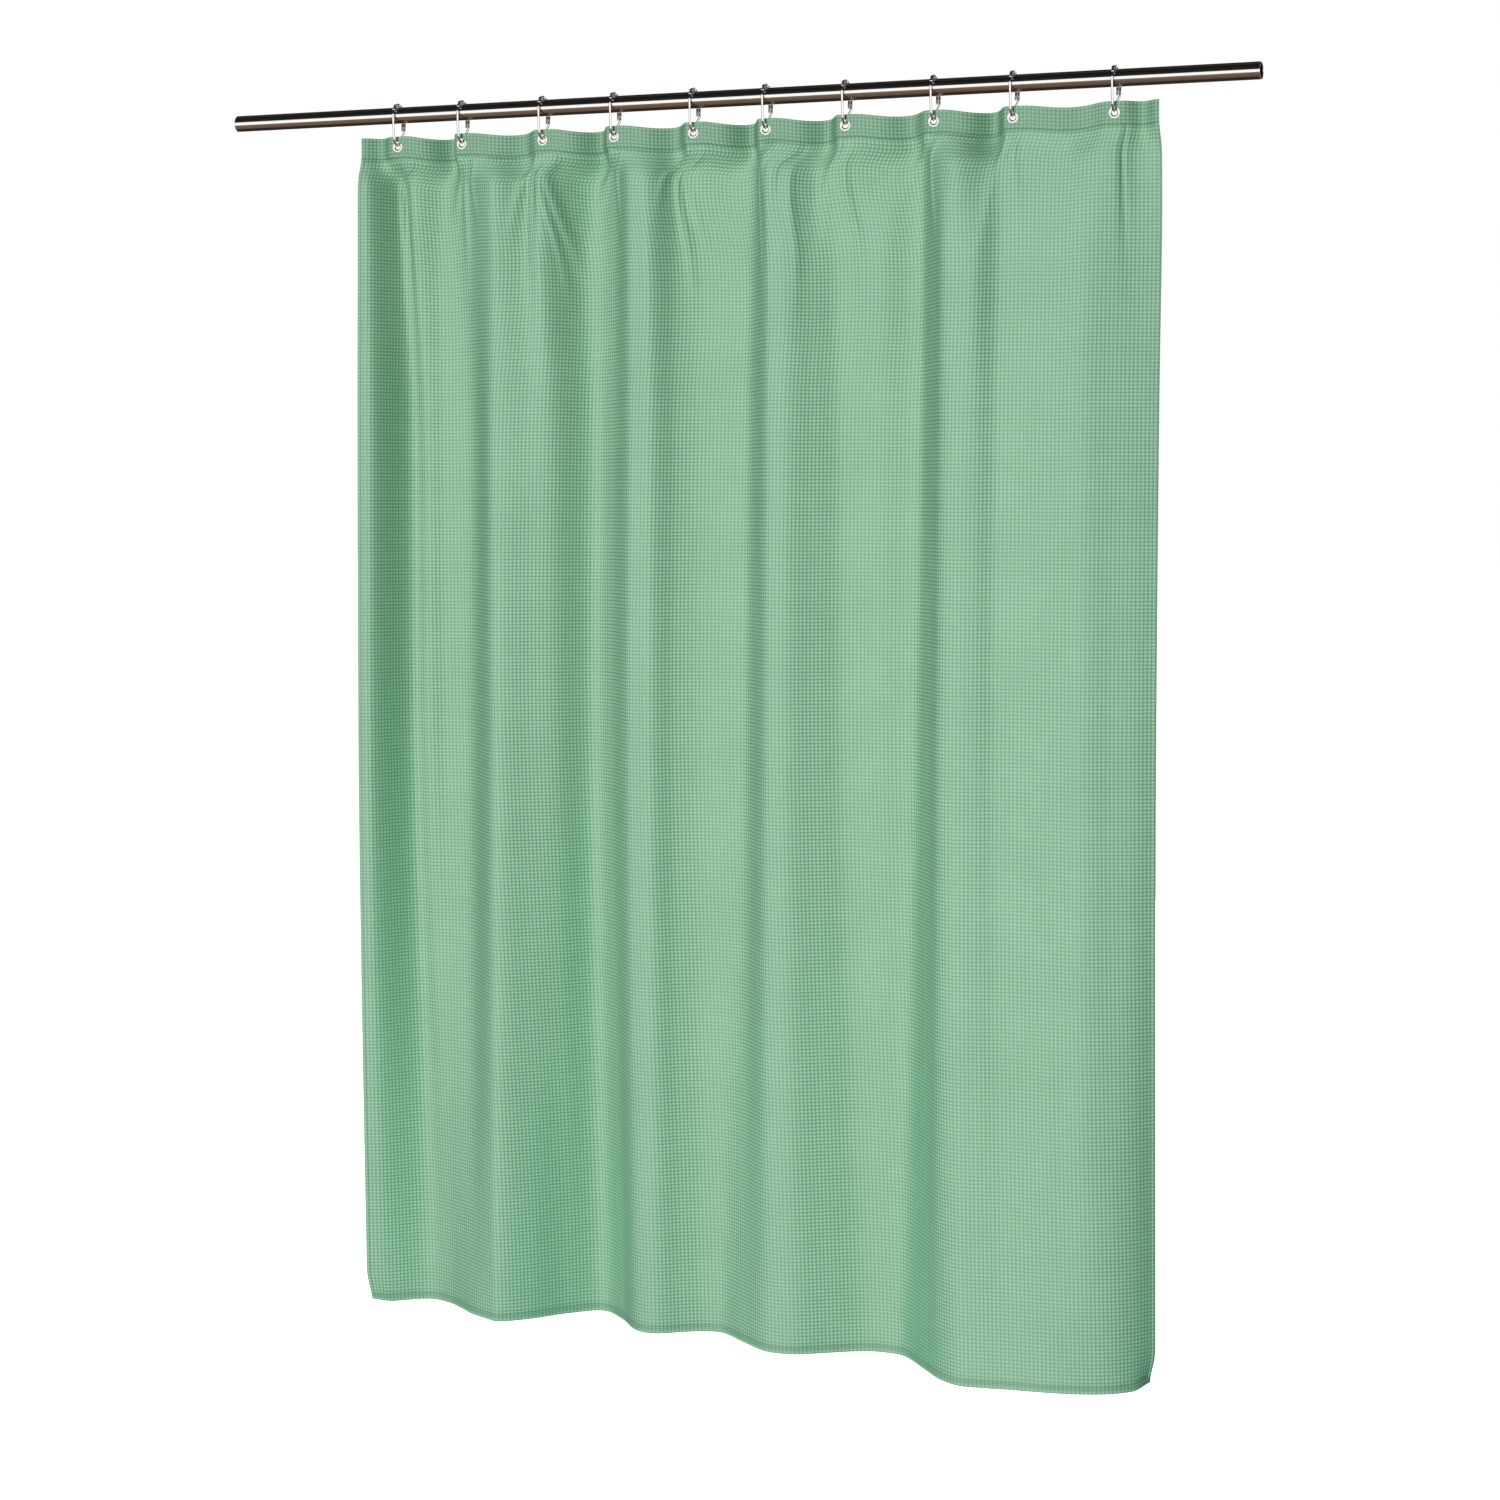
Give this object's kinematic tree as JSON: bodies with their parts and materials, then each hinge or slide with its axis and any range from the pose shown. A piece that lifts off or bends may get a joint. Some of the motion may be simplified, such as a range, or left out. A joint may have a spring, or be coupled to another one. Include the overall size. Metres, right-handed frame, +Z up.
{
  "type": "shower curtain",
  "caption": "Waffle-weave cloth shower curtain with turned hems and metal eyelets, hung from a straight tubular rod on roller-ball rings.",
  "frame": {"origin": "on the rod's axis at the rod's left end", "axes": "+X along the rod to its right end, +Y away from the room towards the bath, +Z up"},
  "size_m": [1.6355, 0.1819, 1.8801],
  "materials": {
    "rod_chrome": "polished",
    "ring_chrome": "polished",
    "ball_steel": "polished",
    "eyelet_nickel": "satin",
    "cloth": "waffle weave",
    "thread": "sewing thread"
  },
  "bodies": {
    "rod": {"rod": "rod_chrome"},
    "balls_01": {"ring_balls_01": "ball_steel"},
    "balls_02": {"ring_balls_02": "ball_steel"},
    "balls_03": {"ring_balls_03": "ball_steel"},
    "balls_04": {"ring_balls_04": "ball_steel"},
    "balls_05": {"ring_balls_05": "ball_steel"},
    "balls_06": {"ring_balls_06": "ball_steel"},
    "balls_07": {"ring_balls_07": "ball_steel"},
    "balls_08": {"ring_balls_08": "ball_steel"},
    "balls_09": {"ring_balls_09": "ball_steel"},
    "balls_10": {"ring_balls_10": "ball_steel"},
    "ring_01": {"ring_wire_01": "ring_chrome"},
    "ring_02": {"ring_wire_02": "ring_chrome"},
    "ring_03": {"ring_wire_03": "ring_chrome"},
    "ring_04": {"ring_wire_04": "ring_chrome"},
    "ring_05": {"ring_wire_05": "ring_chrome"},
    "ring_06": {"ring_wire_06": "ring_chrome"},
    "ring_07": {"ring_wire_07": "ring_chrome"},
    "ring_08": {"ring_wire_08": "ring_chrome"},
    "ring_09": {"ring_wire_09": "ring_chrome"},
    "ring_10": {"ring_wire_10": "ring_chrome"},
    "curtain": {"header_band": "cloth", "curtain_panel": "cloth", "left_hem": "cloth", "right_hem": "cloth", "bottom_hem": "cloth", "eyelet_01": "eyelet_nickel", "eyelet_washer_01": "eyelet_nickel"},
    "eyelet_02": {"eyelet_02": "eyelet_nickel", "eyelet_washer_02": "eyelet_nickel"},
    "eyelet_03": {"eyelet_03": "eyelet_nickel", "eyelet_washer_03": "eyelet_nickel"},
    "eyelet_04": {"eyelet_04": "eyelet_nickel", "eyelet_washer_04": "eyelet_nickel"},
    "eyelet_05": {"eyelet_05": "eyelet_nickel", "eyelet_washer_05": "eyelet_nickel"},
    "eyelet_06": {"eyelet_06": "eyelet_nickel", "eyelet_washer_06": "eyelet_nickel"},
    "eyelet_07": {"eyelet_07": "eyelet_nickel", "eyelet_washer_07": "eyelet_nickel"},
    "eyelet_08": {"eyelet_08": "eyelet_nickel", "eyelet_washer_08": "eyelet_nickel"},
    "eyelet_09": {"eyelet_09": "eyelet_nickel", "eyelet_washer_09": "eyelet_nickel"},
    "eyelet_10": {"eyelet_10": "eyelet_nickel", "eyelet_washer_10": "eyelet_nickel"}
  },
  "joints": [
    {"name": "curtain_shift", "type": "slide", "parent": "rod", "child": "balls_01", "axis": [1, 0, 0], "range_m": [-0.2, 0.12]},
    {"name": "curtain_draw", "type": "slide", "parent": "balls_01", "child": "balls_10", "axis": [1, 0, 0], "range_m": [-0.7762, 0], "deforming": ["header_band", "curtain_panel", "left_hem", "right_hem", "bottom_hem"]},
    {"name": "ring_draw_02", "type": "slide", "parent": "balls_01", "child": "balls_02", "axis": [1, 0, 0], "range_m": [-0.07575, 0]},
    {"name": "ring_draw_03", "type": "slide", "parent": "balls_01", "child": "balls_03", "axis": [1, 0, 0], "range_m": [-0.16902, 0]},
    {"name": "ring_draw_04", "type": "slide", "parent": "balls_01", "child": "balls_04", "axis": [1, 0, 0], "range_m": [-0.24985, 0]},
    {"name": "ring_draw_05", "type": "slide", "parent": "balls_01", "child": "balls_05", "axis": [1, 0, 0], "range_m": [-0.33794, 0]},
    {"name": "ring_draw_06", "type": "slide", "parent": "balls_01", "child": "balls_06", "axis": [1, 0, 0], "range_m": [-0.4167, 0]},
    {"name": "ring_draw_07", "type": "slide", "parent": "balls_01", "child": "balls_07", "axis": [1, 0, 0], "range_m": [-0.50168, 0]},
    {"name": "ring_draw_08", "type": "slide", "parent": "balls_01", "child": "balls_08", "axis": [1, 0, 0], "range_m": [-0.59391, 0]},
    {"name": "ring_draw_09", "type": "slide", "parent": "balls_01", "child": "balls_09", "axis": [1, 0, 0], "range_m": [-0.67475, 0]},
    {"name": "ring_swing", "type": "hinge", "parent": "balls_01", "child": "ring_01", "pos_m": [0.28501, 0, 0], "axis": [1, 0, 0], "range_deg": [-25, 25]},
    {"name": "ring_swing_02", "type": "hinge", "parent": "balls_02", "child": "ring_02", "pos_m": [0.39626, 0, 0], "axis": [1, 0, 0], "range_deg": [-25, 25]},
    {"name": "ring_swing_03", "type": "hinge", "parent": "balls_03", "child": "ring_03", "pos_m": [0.53342, 0, 0], "axis": [1, 0, 0], "range_deg": [-25, 25]},
    {"name": "ring_swing_04", "type": "hinge", "parent": "balls_04", "child": "ring_04", "pos_m": [0.65229, 0, 0], "axis": [1, 0, 0], "range_deg": [-25, 25]},
    {"name": "ring_swing_05", "type": "hinge", "parent": "balls_05", "child": "ring_05", "pos_m": [0.78183, 0, 0], "axis": [1, 0, 0], "range_deg": [-25, 25]},
    {"name": "ring_swing_06", "type": "hinge", "parent": "balls_06", "child": "ring_06", "pos_m": [0.89766, 0, 0], "axis": [1, 0, 0], "range_deg": [-25, 25]},
    {"name": "ring_swing_07", "type": "hinge", "parent": "balls_07", "child": "ring_07", "pos_m": [1.02262, 0, 0], "axis": [1, 0, 0], "range_deg": [-25, 25]},
    {"name": "ring_swing_08", "type": "hinge", "parent": "balls_08", "child": "ring_08", "pos_m": [1.15826, 0, 0], "axis": [1, 0, 0], "range_deg": [-25, 25]},
    {"name": "ring_swing_09", "type": "hinge", "parent": "balls_09", "child": "ring_09", "pos_m": [1.27713, 0, 0], "axis": [1, 0, 0], "range_deg": [-25, 25]},
    {"name": "ring_swing_10", "type": "hinge", "parent": "balls_10", "child": "ring_10", "pos_m": [1.42648, 0, 0], "axis": [1, 0, 0], "range_deg": [-25, 25]},
    {"name": "cloth_swing", "type": "hinge", "parent": "ring_01", "child": "curtain", "pos_m": [0.28501, 0, -0.0465], "axis": [1, 0, 0], "range_deg": [-15, 15]},
    {"name": "eyelet_draw_02", "type": "slide", "parent": "curtain", "child": "eyelet_02", "axis": [1, 0, 0], "range_m": [-0.07575, 0]},
    {"name": "eyelet_draw_03", "type": "slide", "parent": "curtain", "child": "eyelet_03", "axis": [1, 0, 0], "range_m": [-0.16902, 0]},
    {"name": "eyelet_draw_04", "type": "slide", "parent": "curtain", "child": "eyelet_04", "axis": [1, 0, 0], "range_m": [-0.24985, 0]},
    {"name": "eyelet_draw_05", "type": "slide", "parent": "curtain", "child": "eyelet_05", "axis": [1, 0, 0], "range_m": [-0.33794, 0]},
    {"name": "eyelet_draw_06", "type": "slide", "parent": "curtain", "child": "eyelet_06", "axis": [1, 0, 0], "range_m": [-0.4167, 0]},
    {"name": "eyelet_draw_07", "type": "slide", "parent": "curtain", "child": "eyelet_07", "axis": [1, 0, 0], "range_m": [-0.50168, 0]},
    {"name": "eyelet_draw_08", "type": "slide", "parent": "curtain", "child": "eyelet_08", "axis": [1, 0, 0], "range_m": [-0.59391, 0]},
    {"name": "eyelet_draw_09", "type": "slide", "parent": "curtain", "child": "eyelet_09", "axis": [1, 0, 0], "range_m": [-0.67475, 0]},
    {"name": "eyelet_draw_10", "type": "slide", "parent": "curtain", "child": "eyelet_10", "axis": [1, 0, 0], "range_m": [-0.7763, 0]}
  ],
  "couplings": [
    {"joint": "ring_draw_02", "follows": "curtain_draw", "ratio": 0.097463},
    {"joint": "ring_draw_03", "follows": "curtain_draw", "ratio": 0.21762},
    {"joint": "ring_draw_04", "follows": "curtain_draw", "ratio": 0.32176},
    {"joint": "ring_draw_05", "follows": "curtain_draw", "ratio": 0.43525},
    {"joint": "ring_draw_06", "follows": "curtain_draw", "ratio": 0.53672},
    {"joint": "ring_draw_07", "follows": "curtain_draw", "ratio": 0.64619},
    {"joint": "ring_draw_08", "follows": "curtain_draw", "ratio": 0.76502},
    {"joint": "ring_draw_09", "follows": "curtain_draw", "ratio": 0.86916},
    {"joint": "ring_swing_02", "follows": "ring_swing", "ratio": 1},
    {"joint": "ring_swing_03", "follows": "ring_swing", "ratio": 1},
    {"joint": "ring_swing_04", "follows": "ring_swing", "ratio": 1},
    {"joint": "ring_swing_05", "follows": "ring_swing", "ratio": 1},
    {"joint": "ring_swing_06", "follows": "ring_swing", "ratio": 1},
    {"joint": "ring_swing_07", "follows": "ring_swing", "ratio": 1},
    {"joint": "ring_swing_08", "follows": "ring_swing", "ratio": 1},
    {"joint": "ring_swing_09", "follows": "ring_swing", "ratio": 1},
    {"joint": "ring_swing_10", "follows": "ring_swing", "ratio": 1},
    {"joint": "eyelet_draw_02", "follows": "curtain_draw", "ratio": 0.097463},
    {"joint": "eyelet_draw_03", "follows": "curtain_draw", "ratio": 0.21762},
    {"joint": "eyelet_draw_04", "follows": "curtain_draw", "ratio": 0.32176},
    {"joint": "eyelet_draw_05", "follows": "curtain_draw", "ratio": 0.43525},
    {"joint": "eyelet_draw_06", "follows": "curtain_draw", "ratio": 0.53672},
    {"joint": "eyelet_draw_07", "follows": "curtain_draw", "ratio": 0.64619},
    {"joint": "eyelet_draw_08", "follows": "curtain_draw", "ratio": 0.76502},
    {"joint": "eyelet_draw_09", "follows": "curtain_draw", "ratio": 0.86916},
    {"joint": "eyelet_draw_10", "follows": "curtain_draw", "ratio": 1}
  ]
}
